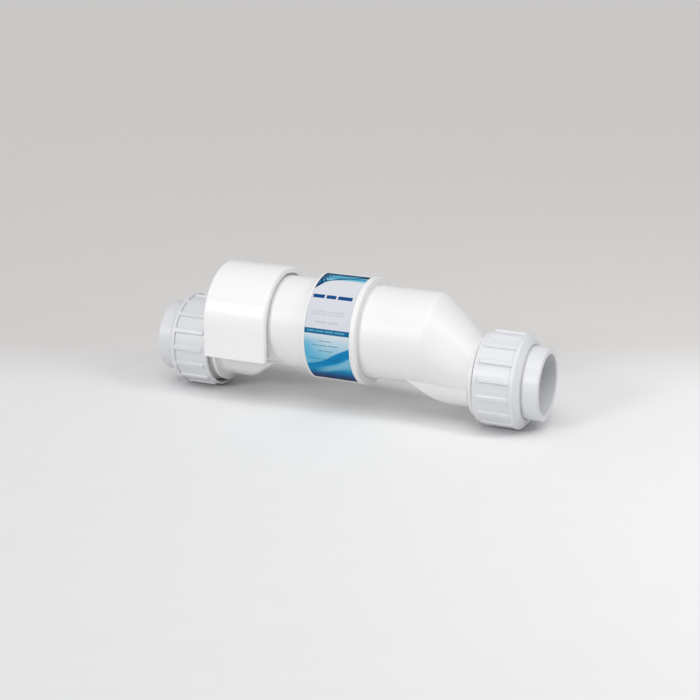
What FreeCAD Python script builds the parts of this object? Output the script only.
import FreeCAD, Part
import math
import os

V = FreeCAD.Vector

# Layout, mm. Shapes are drawn from mid length, and moved to the inlet mouth on export.
HALF_LENGTH = 207.5
CHAMBER_LIFT = 32.0
CHAMBER_R = 47.0
WALL = 4.0
CHAMBER_HALF = 95.0
REDUCER_END = 138.6
REDUCER_END_R = 33.9
REDUCER_END_LIFT = 5.4
CREASE_Z = -4.8
SEAM_X = 66.0
NECK_SEAM_X = 136.6

# Neck, its collar ring and the threaded end
NECK_R = 32.3
NECK_START = 68.0
NECK_INNER_R = 27.5
FLOW_R = 26.3
SLANT_X = 77.5
SLANT_Z = -9.2
SLANT_DEG = 37.0
SLANT_EDGE_R = 3.5
RING_R = 39.5
RING_X0 = 138.3
RING_X1 = 142.5
RELIEF_R = 38.4
THREAD_X0 = 148.5
NECK_FACE = 174.0

# Union thread
PITCH = 5.0
MALE_ROOT_R = 40.4
MALE_CREST_R = 42.4
FEMALE_CREST_R = 40.8
FEMALE_ROOT_R = 42.8
RIDGE_ROOT_W = 2.4
RIDGE_CREST_W = 0.8

# Union nut
NUT_X0 = 144.8
NUT_RIM_R = 45.7
NUT_RIB_R = 47.5
RIB_X0 = 149.0
SHOULDER_X0 = 182.3
SHOULDER_X1 = 186.0
NUT_X1 = 191.0
NUT_FACE_R = 41.0
NUT_LIP_X = 184.0
NUT_LIP_R = 37.0
RIB_COUNT = 16
RIB_W = 5.0
OUTLET_RIB_PHASE = 8.0
INLET_RIB_PHASE = 2.5

# Tailpiece with its solvent socket
TAIL_R = 36.5
SOCKET_R = 30.25
SOCKET_DEPTH = 30.0
FLANGE_R = 41.8
FLANGE_X0 = 174.3
FLANGE_X1 = 183.8

# Union seal
GROOVE_R0 = 30.6
GROOVE_R1 = 36.0
GROOVE_DEPTH = 3.2

# Centre collar and label
COLLAR_X0 = -31.0
COLLAR_X1 = 26.0
COLLAR_R = 55.0
LABEL_X0 = -28.0
LABEL_X1 = 20.5
LABEL_SEAT_R = 54.45
LABEL_R = 54.75
LABEL_TOP_DEG = 92.0
LABEL_BOTTOM_DEG = -57.0
GASKET_HALF = 0.75

# Electrode pack
PLATE_COUNT = 9
PLATE_PITCH = 6.0
PLATE_T = 1.0
PLATE_HALF_LENGTH = 66.0
PLATE_HALF_HEIGHT = 28.0
COMB_X = 55.0
COMB_T = 6.0
COMB_R = 42.7
COMB_WINDOW_HALF = 22.0
STRIP_T = 2.0
ANODE_STRIP_X = -72.0
CATHODE_STRIP_X = -78.0
ANODE_STRIP_Z = 50.0
CATHODE_STRIP_Z = 36.0
STRIP_H = 8.0
STRIP_HALF_SPAN = 25.5
LEAD_Z = 40.0
LEAD_STEP_X = -90.0
LEAD_W = 10.0

# Terminals
STUD_X = -116.0
STUD_Y = 15.0
STUD_R = 3.0
STUD_TOP = 79.5
BOSS_R = 9.0
BOSS_TOP = 68.0

# Terminal cover
COVER_X0 = -141.5
COVER_X1 = -72.2
COVER_END_X = -77.0
COVER_R = 56.0
COVER_WALL = 3.0
COVER_EDGE_R = 3.1
COVER_LIP_R = 49.5
COVER_LEFT_EDGE_R = 1.5
LEDGE_X0 = -136.4
LEDGE_X1 = -80.6
LEDGE_Z0 = 0.5
LEDGE_Z1 = 4.5
COVER_GASKET_T = 1.5
LUG_TOP = 12.0
LUG_HALF = 6.2
SCREW_X = (-129.0, -86.0)
SCREW_Y = 47.5
SCREW_R = 1.5
SCREW_HEAD_R = 2.9
SCREW_HEAD_H = 2.0

# Cable gland on the rear wall
GLAND_X = -122.0
GLAND_Z = 24.0
GLAND_THREAD_R = 8.0
GLAND_HEX = 20.0
CORD_R = 4.0


def box(x0, x1, y0, y1, z0, z1):
    return Part.makeBox(x1 - x0, y1 - y0, z1 - z0, V(x0, y0, z0))


def cyl_x(radius, x0, x1, z=0.0):
    return Part.makeCylinder(radius, x1 - x0, V(x0, 0, z), V(1, 0, 0))


def cyl_y(radius, y0, y1):
    return Part.makeCylinder(radius, y1 - y0, V(GLAND_X, y0, GLAND_Z), V(0, 1, 0))


def cyl_z(radius, x, y, z0, z1):
    return Part.makeCylinder(radius, z1 - z0, V(x, y, z0), V(0, 0, 1))


def revolved(outline, lift=0.0):
    """Solid of revolution about the X direction; outline is (x, radius) pairs."""
    points = [V(x, 0, r) for x, r in outline]
    face = Part.Face(Part.makePolygon(points + [points[0]]))
    solid = face.revolve(V(0, 0, 0), V(1, 0, 0), 360)
    solid.translate(V(0, 0, lift))
    return solid


def hexagon(across_flats):
    radius = across_flats / math.sqrt(3.0)
    corners = [
        V(radius * math.cos(math.radians(60 * i)), radius * math.sin(math.radians(60 * i)), 0)
        for i in range(7)
    ]
    return Part.Face(Part.makePolygon(corners))


def hex_prism(across_flats, height):
    """Hexagon whose corners are turned off at both ends."""
    turned = Part.makeCylinder(across_flats / 2 + 0.9, height)
    rims = [e for e in turned.Edges if e.BoundBox.ZLength < 0.01]
    return hexagon(across_flats).extrude(V(0, 0, height)).common(turned.makeChamfer(0.8, rims))


def hex_z(across_flats, x, y, z0, z1):
    solid = hex_prism(across_flats, z1 - z0)
    solid.translate(V(x, y, z0))
    return solid


def hex_y(across_flats, y0, y1):
    solid = hex_prism(across_flats, y1 - y0)
    solid.rotate(V(0, 0, 0), V(1, 0, 0), -90)
    solid.translate(V(GLAND_X, y0, GLAND_Z))
    return solid


def to_inlet(shape):
    """The inlet end is the outlet end turned half a turn about Z."""
    turned = shape.copy()
    turned.rotate(V(0, 0, 0), V(0, 0, 1), 180)
    return turned


def arc_section(x, radius, lift, crease_z):
    """Closed wire: the arc of a circle above a flat chord at crease_z."""
    drop = lift - crease_z
    half = math.sqrt(radius ** 2 - drop ** 2)
    left = V(x, -half, crease_z)
    right = V(x, half, crease_z)
    arc = Part.Arc(left, V(x, 0, lift + radius), right).toShape()
    return Part.Wire([arc, Part.makeLine(right, left)])


def reducer(inset, x_end):
    start = arc_section(CHAMBER_HALF, CHAMBER_R - inset, CHAMBER_LIFT, CREASE_Z)
    end = arc_section(x_end, REDUCER_END_R - inset, REDUCER_END_LIFT, CREASE_Z)
    return Part.makeLoft([start, end], True, True)


def below_slant(offset):
    block = box(-150, 150, -80, 80, -120, 0)
    block.rotate(V(0, 0, 0), V(0, 1, 0), SLANT_DEG)
    slant = math.radians(SLANT_DEG)
    block.translate(V(SLANT_X + offset * math.sin(slant), 0, SLANT_Z + offset * math.cos(slant)))
    return block


def helical_ridge(x0, turns, base_r, tip_r):
    half_base = RIDGE_ROOT_W / 2
    half_tip = RIDGE_CREST_W / 2
    profile = Part.makePolygon([
        V(base_r, 0, -half_base),
        V(base_r, 0, half_base),
        V(tip_r, 0, half_tip),
        V(tip_r, 0, -half_tip),
        V(base_r, 0, -half_base),
    ])
    helix = Part.makeHelix(PITCH, PITCH * turns, (base_r + tip_r) / 2)
    ridge = Part.Wire(helix).makePipeShell([profile], True, True)
    ridge.rotate(V(0, 0, 0), V(0, 1, 0), 90)
    ridge.translate(V(x0, 0, 0))
    return ridge


def flare():
    """Concave sweep from the neck up to the ring, and the ring itself."""
    reach = RING_R - NECK_R
    corner = V(RING_X0 - reach, 0, RING_R)
    low = V(corner.x, 0, NECK_R)
    high = V(RING_X0, 0, RING_R)
    middle = corner + V(reach * math.sin(math.pi / 4), 0, -reach * math.cos(math.pi / 4))
    arc = Part.Arc(low, middle, high).toShape()
    edges = [
        arc,
        Part.makeLine(high, V(RING_X1 - 0.8, 0, RING_R)),
        Part.makeLine(V(RING_X1 - 0.8, 0, RING_R), V(RING_X1, 0, RING_R - 0.8)),
        Part.makeLine(V(RING_X1, 0, RING_R - 0.8), V(RING_X1, 0, NECK_INNER_R - 2)),
        Part.makeLine(V(RING_X1, 0, NECK_INNER_R - 2), V(low.x, 0, NECK_INNER_R - 2)),
        Part.makeLine(V(low.x, 0, NECK_INNER_R - 2), low),
    ]
    return Part.Face(Part.Wire(edges)).revolve(V(0, 0, 0), V(1, 0, 0), 360)


def threaded_end():
    core = revolved([
        (RING_X1 - 1, 20),
        (RING_X1 - 1, RELIEF_R),
        (THREAD_X0 - 0.5, RELIEF_R),
        (THREAD_X0 + 1, MALE_ROOT_R),
        (NECK_FACE - 1, MALE_ROOT_R),
        (NECK_FACE, MALE_ROOT_R - 1),
        (NECK_FACE, 20),
    ])
    return core.fuse(helical_ridge(THREAD_X0 + 3, 3.6, MALE_ROOT_R - 0.3, MALE_CREST_R))


def slanted_neck():
    """The neck runs in under the chamber to a level top, and its lower side is cut off by a slope."""
    neck = cyl_x(NECK_R, NECK_START, RING_X0 + 1).cut(below_slant(0))
    rim = [e for e in neck.Edges if e.BoundBox.XLength > 20 and e.BoundBox.YLength > 20]
    neck = neck.makeFillet(SLANT_EDGE_R, rim)
    return neck.cut(box(NECK_START - 1, REDUCER_END - 8, -40, 40, CREASE_Z, 40))


def housing_outer():
    chamber = cyl_x(CHAMBER_R, SEAM_X, CHAMBER_HALF, CHAMBER_LIFT)
    return chamber.fuse([reducer(0, REDUCER_END), slanted_neck(), flare(), threaded_end()])


def housing_cavity():
    chamber = cyl_x(CHAMBER_R - WALL, SEAM_X - 1, CHAMBER_HALF, CHAMBER_LIFT)
    bore = cyl_x(NECK_INNER_R, NECK_START - 10, REDUCER_END - 2).cut(below_slant(WALL))
    flow = cyl_x(FLOW_R, REDUCER_END - 3, NECK_FACE + 1)
    groove = cyl_x(GROOVE_R1, NECK_FACE - GROOVE_DEPTH, NECK_FACE + 1)
    groove = groove.cut(cyl_x(GROOVE_R0, NECK_FACE - GROOVE_DEPTH - 1, NECK_FACE + 2))
    return [chamber, reducer(WALL, REDUCER_END - 2), bore, flow, groove]


def end_moulding():
    return housing_outer().cut(housing_cavity())


def housing_outlet():
    return end_moulding().common(box(SEAM_X - 1, NECK_SEAM_X, -60, 60, -60, 90))


def neck_outlet():
    return end_moulding().common(box(NECK_SEAM_X, NECK_FACE + 1, -60, 60, -60, 60))


def chamber_outlet():
    tube = cyl_x(CHAMBER_R, GASKET_HALF, SEAM_X, CHAMBER_LIFT)
    return tube.cut(cyl_x(CHAMBER_R - WALL, -1, SEAM_X + 1, CHAMBER_LIFT))


def ledges():
    y1 = COVER_R - COVER_WALL - 0.4
    front = box(LEDGE_X0, LEDGE_X1, -y1, -30.0, LEDGE_Z0, LEDGE_Z1)
    rear = box(LEDGE_X0, LEDGE_X1, 30.0, y1, LEDGE_Z0, LEDGE_Z1)
    return [front, rear]


def stud_bosses():
    return [cyl_z(BOSS_R, STUD_X, s * STUD_Y, LEAD_Z + STRIP_T, BOSS_TOP) for s in (-1, 1)]


def screw_places():
    return [(x, s * SCREW_Y) for x in SCREW_X for s in (-1, 1)]


def housing_inlet():
    body = to_inlet(housing_outer()).fuse(ledges())
    body = body.cut([to_inlet(shape) for shape in housing_cavity()])
    body = body.common(box(-NECK_SEAM_X, -SEAM_X + 1, -60, 60, -60, 90)).fuse(stud_bosses())
    holes = [cyl_z(STUD_R + 0.3, STUD_X, s * STUD_Y, LEAD_Z, BOSS_TOP + 1) for s in (-1, 1)]
    for x, y in screw_places():
        holes.append(cyl_z(SCREW_R + 0.2, x, y, LEDGE_Z0 - 1, LEDGE_Z1 + 1))
    return body.cut(holes)


def housing_gasket():
    return revolved([
        (-GASKET_HALF, CHAMBER_R - WALL + 0.3),
        (-GASKET_HALF, CHAMBER_R - 0.3),
        (GASKET_HALF, CHAMBER_R - 0.3),
        (GASKET_HALF, CHAMBER_R - WALL + 0.3),
    ], CHAMBER_LIFT)


def centre_collar():
    return revolved([
        (COLLAR_X0, CHAMBER_R + 0.1),
        (COLLAR_X0, COLLAR_R - 1.2),
        (COLLAR_X0 + 0.4, COLLAR_R - 0.4),
        (COLLAR_X0 + 1.2, COLLAR_R),
        (LABEL_X0, COLLAR_R),
        (LABEL_X0, LABEL_SEAT_R),
        (LABEL_X1, LABEL_SEAT_R),
        (LABEL_X1, COLLAR_R),
        (COLLAR_X1 - 1.2, COLLAR_R),
        (COLLAR_X1 - 0.4, COLLAR_R - 0.4),
        (COLLAR_X1, COLLAR_R - 1.2),
        (COLLAR_X1, CHAMBER_R + 0.1),
    ], CHAMBER_LIFT)


def label_wrap():
    """Curved sheet on the front of the collar, from just past its top to low on its front."""
    seat_r = LABEL_SEAT_R + 0.02
    low = V(LABEL_X0 + 0.2, -math.cos(math.radians(LABEL_BOTTOM_DEG)), math.sin(math.radians(LABEL_BOTTOM_DEG)))
    outline = [V(LABEL_X0 + 0.2, low.y * r, low.z * r) for r in (seat_r, LABEL_R)]
    outline += [V(LABEL_X1 - 0.2, low.y * r, low.z * r) for r in (LABEL_R, seat_r)]
    face = Part.Face(Part.makePolygon(outline + [outline[0]]))
    sheet = face.revolve(V(0, 0, 0), V(1, 0, 0), LABEL_BOTTOM_DEG - LABEL_TOP_DEG)
    sheet.translate(V(0, 0, CHAMBER_LIFT))
    return sheet


def union_nut(phase):
    shell = revolved([
        (NUT_X0, FEMALE_ROOT_R + 0.8),
        (NUT_X0, NUT_RIM_R - 0.8),
        (NUT_X0 + 0.8, NUT_RIM_R),
        (SHOULDER_X0, NUT_RIM_R),
        (SHOULDER_X0, NUT_RIB_R - 0.4),
        (SHOULDER_X0 + 0.4, NUT_RIB_R),
        (SHOULDER_X1, NUT_RIB_R),
        (NUT_X1, NUT_FACE_R + 0.5),
        (NUT_X1, NUT_LIP_R + 0.5),
        (NUT_X1 - 0.5, NUT_LIP_R),
        (NUT_LIP_X, NUT_LIP_R),
        (NUT_LIP_X, FEMALE_ROOT_R),
        (NUT_X0 + 0.8, FEMALE_ROOT_R),
    ])
    band = revolved([
        (RIB_X0, NUT_RIM_R - 1),
        (RIB_X0, NUT_RIM_R + 0.2),
        (RIB_X0 + 1.2, NUT_RIB_R),
        (SHOULDER_X0 + 0.5, NUT_RIB_R),
        (SHOULDER_X0 + 0.5, NUT_RIM_R - 1),
    ])
    ribs = []
    for i in range(RIB_COUNT):
        rib = box(RIB_X0, SHOULDER_X0 + 1, -NUT_RIB_R - 1, -NUT_RIM_R + 2, -RIB_W / 2, RIB_W / 2)
        rib.rotate(V(0, 0, 0), V(1, 0, 0), phase + 360.0 * i / RIB_COUNT)
        ribs.append(rib.common(band))
    thread = helical_ridge(THREAD_X0 + 3 + PITCH / 2, 3.0, FEMALE_ROOT_R + 0.3, FEMALE_CREST_R)
    return shell.fuse(ribs + [thread])


def tailpiece():
    return revolved([
        (FLANGE_X0, FLOW_R),
        (FLANGE_X0, FLANGE_R - 0.6),
        (FLANGE_X0 + 0.6, FLANGE_R),
        (FLANGE_X1 - 0.6, FLANGE_R),
        (FLANGE_X1, FLANGE_R - 0.6),
        (FLANGE_X1, TAIL_R),
        (HALF_LENGTH - 0.8, TAIL_R),
        (HALF_LENGTH, TAIL_R - 0.8),
        (HALF_LENGTH, SOCKET_R),
        (HALF_LENGTH - SOCKET_DEPTH, SOCKET_R),
        (HALF_LENGTH - SOCKET_DEPTH, FLOW_R),
    ])


def union_seal():
    x0 = NECK_FACE - GROOVE_DEPTH
    x1 = FLANGE_X0 - 0.1
    r0 = GROOVE_R0 + 0.4
    r1 = GROOVE_R1 - 0.4
    return revolved([
        (x0, r0 + 1.2),
        (x0, r1 - 1.2),
        (x0 + 1.2, r1),
        (x1 - 1.0, r1),
        (x1, r1 - 1.2),
        (x1, r0 + 1.2),
        (x1 - 1.0, r0),
        (x0 + 1.2, r0),
    ])


def plate_y(index):
    return (index - (PLATE_COUNT - 1) / 2) * PLATE_PITCH


def electrode_plate(index):
    y = plate_y(index)
    z0 = CHAMBER_LIFT - PLATE_HALF_HEIGHT
    z1 = CHAMBER_LIFT + PLATE_HALF_HEIGHT
    plate = box(-PLATE_HALF_LENGTH, PLATE_HALF_LENGTH, y - PLATE_T / 2, y + PLATE_T / 2, z0, z1)
    strip_x, strip_z = (ANODE_STRIP_X, ANODE_STRIP_Z)
    if index % 2 == 1:
        strip_x, strip_z = (CATHODE_STRIP_X, CATHODE_STRIP_Z)
    tab = box(strip_x + STRIP_T, -PLATE_HALF_LENGTH, y - PLATE_T / 2, y + PLATE_T / 2,
              strip_z, strip_z + STRIP_H)
    return plate.fuse(tab).removeSplitter()


def electrode_comb(x0):
    disc = cyl_x(COMB_R, x0, x0 + COMB_T, CHAMBER_LIFT)
    half = COMB_WINDOW_HALF
    cuts = [box(x0 - 1, x0 + COMB_T + 1, -STRIP_HALF_SPAN - 2, STRIP_HALF_SPAN + 2,
                CHAMBER_LIFT - half, CHAMBER_LIFT + half)]
    reach = PLATE_HALF_HEIGHT + 0.2
    for i in range(PLATE_COUNT):
        y = plate_y(i)
        cuts.append(box(x0 - 1, x0 + COMB_T + 1, y - PLATE_T / 2 - 0.15, y + PLATE_T / 2 + 0.15,
                        CHAMBER_LIFT - reach, CHAMBER_LIFT + reach))
    return disc.cut(cuts)


def strap(x0, x1, y, z0, z1):
    return box(x0, x1, y - LEAD_W / 2, y + LEAD_W / 2, z0, z1)


def lead(x1, y):
    """Flat end of a lead, with the stud's hole."""
    flat = strap(STUD_X - 5, x1, y, LEAD_Z, LEAD_Z + STRIP_T)
    return flat.cut(cyl_z(STUD_R + 0.15, STUD_X, y, LEAD_Z - 1, LEAD_Z + STRIP_T + 1))


def busbar_anode():
    strip = box(ANODE_STRIP_X, ANODE_STRIP_X + STRIP_T, -STRIP_HALF_SPAN, STRIP_HALF_SPAN,
                ANODE_STRIP_Z, ANODE_STRIP_Z + STRIP_H)
    upper = strap(LEAD_STEP_X, ANODE_STRIP_X + 1, STUD_Y, ANODE_STRIP_Z, ANODE_STRIP_Z + STRIP_T)
    step = strap(LEAD_STEP_X, LEAD_STEP_X + STRIP_T, STUD_Y, LEAD_Z, ANODE_STRIP_Z + STRIP_T)
    return strip.fuse([upper, step, lead(LEAD_STEP_X + 1, STUD_Y)]).removeSplitter()


def busbar_cathode():
    strip = box(CATHODE_STRIP_X, CATHODE_STRIP_X + STRIP_T, -STRIP_HALF_SPAN, STRIP_HALF_SPAN,
                CATHODE_STRIP_Z, CATHODE_STRIP_Z + STRIP_H)
    return strip.fuse(lead(CATHODE_STRIP_X + 1, -STUD_Y)).removeSplitter()


def terminal_stud(y):
    head = hex_z(10.0, STUD_X, y, LEAD_Z - 4, LEAD_Z)
    shank = cyl_z(STUD_R, STUD_X, y, LEAD_Z - 1, STUD_TOP - 0.6)
    tip = Part.makeCone(STUD_R, STUD_R - 0.6, 0.6, V(STUD_X, y, STUD_TOP - 0.6))
    return head.fuse([shank, tip])


def ring_z(r_out, r_in, x, y, z0, z1):
    return cyl_z(r_out, x, y, z0, z1).cut(cyl_z(r_in, x, y, z0 - 1, z1 + 1))


def stud_seal(y):
    return ring_z(7.0, STUD_R + 0.1, STUD_X, y, BOSS_TOP, BOSS_TOP + 2)


def terminal_washers():
    rings = [ring_z(7.0, STUD_R + 0.2, STUD_X, s * STUD_Y, BOSS_TOP + 2, BOSS_TOP + 3.2) for s in (-1, 1)]
    return Part.makeCompound(rings)


def terminal_nuts():
    nuts = []
    for s in (-1, 1):
        nut = hex_z(10.0, STUD_X, s * STUD_Y, BOSS_TOP + 3.2, BOSS_TOP + 8.2)
        nuts.append(nut.cut(cyl_z(STUD_R + 0.05, STUD_X, s * STUD_Y, BOSS_TOP + 3, BOSS_TOP + 9)))
    return Part.makeCompound(nuts)


def arch(x0, x1, radius, z0, rims=()):
    """Round-topped block about the chamber axis; rims gives the end rims to round, as (x, radius)."""
    solid = cyl_x(radius, x0, x1, CHAMBER_LIFT).fuse(box(x0, x1, -radius, radius, z0, CHAMBER_LIFT))
    solid = solid.cut(box(x0 - 1, x1 + 1, -radius - 1, radius + 1, z0 - radius, z0)).removeSplitter()
    for x_rim, rim_r in rims:
        edges = [
            e for e in solid.Edges
            if abs(e.BoundBox.XMin - x_rim) < 0.01 and abs(e.BoundBox.XMax - x_rim) < 0.01
            and e.BoundBox.ZMax > z0 + 0.01
        ]
        solid = solid.makeFillet(rim_r, edges)
    return solid


def cover_lug(x, side):
    y0 = 43.6
    y1 = COVER_R - COVER_WALL / 2
    lug = box(x - LUG_HALF, x + LUG_HALF, min(side * y0, side * y1), max(side * y0, side * y1),
              LEDGE_Z1 + COVER_GASKET_T, LUG_TOP)
    return lug.cut(cyl_z(SCREW_R + 0.05, x, side * SCREW_Y, 0, LUG_TOP - 1))


def terminal_cover():
    """Arched shell whose right-hand end wall stands back inside a thick rounded lip."""
    outer = arch(COVER_X0, COVER_X1, COVER_R, 0.0, [(COVER_X1, COVER_EDGE_R), (COVER_X0, COVER_LEFT_EDGE_R)])
    inner_x0 = COVER_X0 + COVER_WALL
    inner_x1 = COVER_END_X - COVER_WALL
    inner = arch(inner_x0, inner_x1, COVER_R - COVER_WALL, -5.0, [(inner_x0, 1.0), (inner_x1, 1.0)])
    recess = arch(COVER_END_X, COVER_X1 + 1, COVER_LIP_R, -5.0)
    shell = outer.cut([inner, recess])
    shell = shell.cut(cyl_x(CHAMBER_R + 0.2, inner_x1 - 1, COVER_END_X + 1, CHAMBER_LIFT))
    collar_r = RING_R + 0.5
    shell = shell.cut([cyl_x(collar_r, COVER_X0 - 1, COVER_X0 + 8), to_inlet(reducer(-0.5, REDUCER_END))])
    lugs = [cover_lug(x, side) for x in SCREW_X for side in (-1, 1)]
    shell = shell.fuse(lugs)
    return shell.cut(cyl_y(GLAND_THREAD_R + 0.2, 50, 60))


def cover_gasket(side):
    y0 = 41.0
    y1 = COVER_R - COVER_WALL - 0.6
    strip = box(LEDGE_X0 + 0.6, LEDGE_X1 - 0.4, min(side * y0, side * y1), max(side * y0, side * y1),
                LEDGE_Z1, LEDGE_Z1 + COVER_GASKET_T)
    return strip.cut([cyl_z(SCREW_R + 0.3, x, side * SCREW_Y, 0, 10) for x in SCREW_X])


def cover_screw(x, y):
    """Pan head against the ledge's underside, with the shank up into the cover's lug."""
    head = cyl_z(SCREW_HEAD_R, x, y, LEDGE_Z0 - SCREW_HEAD_H, LEDGE_Z0)
    rim = [e for e in head.Edges if abs(e.BoundBox.ZMax - LEDGE_Z0 + SCREW_HEAD_H) < 0.01]
    head = head.makeFillet(SCREW_HEAD_H / 2, rim)
    shank = cyl_z(SCREW_R, x, y, LEDGE_Z0 - 0.5, LUG_TOP - 1.5)
    cross = [
        box(x - 1.7, x + 1.7, y - 0.4, y + 0.4, LEDGE_Z0 - SCREW_HEAD_H - 1, LEDGE_Z0 - 0.8),
        box(x - 0.4, x + 0.4, y - 1.7, y + 1.7, LEDGE_Z0 - SCREW_HEAD_H - 1, LEDGE_Z0 - 0.8),
    ]
    return head.fuse(shank).cut(cross)


def cover_screws():
    return Part.makeCompound([cover_screw(x, y) for x, y in screw_places()])


def gland_body():
    wall_out = COVER_R
    solid = cyl_y(GLAND_THREAD_R, wall_out - 9, wall_out + 14).fuse(hex_y(GLAND_HEX, wall_out + 1, wall_out + 6))
    solid = solid.cut(cyl_y(CORD_R + 1.5, wall_out - 10, wall_out + 15))
    return solid.cut(cyl_y(CORD_R + 2.6, wall_out + 6, wall_out + 15))


def gland_seal_ring():
    return cyl_y(10.5, COVER_R, COVER_R + 1).cut(cyl_y(GLAND_THREAD_R + 0.1, COVER_R - 1, COVER_R + 2))


def gland_locknut():
    inside = COVER_R - COVER_WALL
    nut = hex_y(GLAND_HEX, inside - 4, inside - 0.1)
    return nut.cut(cyl_y(GLAND_THREAD_R + 0.05, inside - 5, inside + 1))


def gland_bush():
    return cyl_y(CORD_R + 2.5, COVER_R + 6.1, COVER_R + 20).cut(cyl_y(CORD_R, COVER_R + 5, COVER_R + 21))


def gland_cap():
    start = COVER_R + 7
    grip = hex_y(GLAND_HEX - 1, start, start + 9)
    dome = Part.makeCone(10.2, 6.5, 6, V(GLAND_X, start + 9, GLAND_Z), V(0, 1, 0))
    solid = grip.fuse(dome)
    solid = solid.cut(cyl_y(GLAND_THREAD_R + 0.05, start - 1, start + 8))
    solid = solid.cut(cyl_y(CORD_R + 2.6, start + 7, start + 13.2))
    return solid.cut(cyl_y(CORD_R + 0.6, start + 12, start + 16))


def save(name, shape):
    placed = shape.copy()
    placed.translate(V(HALF_LENGTH, 0, 0))
    placed.exportStep("parts/" + name + ".step")


os.makedirs("parts", exist_ok=True)
save("housing_inlet", housing_inlet())
save("housing_outlet", housing_outlet())
save("neck_inlet", to_inlet(neck_outlet()))
save("neck_outlet", neck_outlet())
save("chamber_inlet", to_inlet(chamber_outlet()))
save("chamber_outlet", chamber_outlet())
save("housing_gasket", housing_gasket())
save("centre_collar", centre_collar())
save("label_wrap", label_wrap())
save("union_nut_outlet", union_nut(OUTLET_RIB_PHASE))
save("union_nut_inlet", to_inlet(union_nut(INLET_RIB_PHASE)))
save("tailpiece_outlet", tailpiece())
save("tailpiece_inlet", to_inlet(tailpiece()))
save("union_seal_outlet", union_seal())
save("union_seal_inlet", to_inlet(union_seal()))
for plate_index in range(PLATE_COUNT):
    save("electrode_plate_%d" % (plate_index + 1), electrode_plate(plate_index))
save("electrode_comb_inlet", electrode_comb(-COMB_X - COMB_T))
save("electrode_comb_outlet", electrode_comb(COMB_X))
save("busbar_anode", busbar_anode())
save("busbar_cathode", busbar_cathode())
save("terminal_stud_anode", terminal_stud(STUD_Y))
save("terminal_stud_cathode", terminal_stud(-STUD_Y))
save("stud_seal_anode", stud_seal(STUD_Y))
save("stud_seal_cathode", stud_seal(-STUD_Y))
save("terminal_washers", terminal_washers())
save("terminal_nuts", terminal_nuts())
save("terminal_cover", terminal_cover())
save("cover_gasket_front", cover_gasket(-1))
save("cover_gasket_rear", cover_gasket(1))
save("cover_screws", cover_screws())
save("gland_body", gland_body())
save("gland_seal_ring", gland_seal_ring())
save("gland_locknut", gland_locknut())
save("gland_bush", gland_bush())
save("gland_cap", gland_cap())
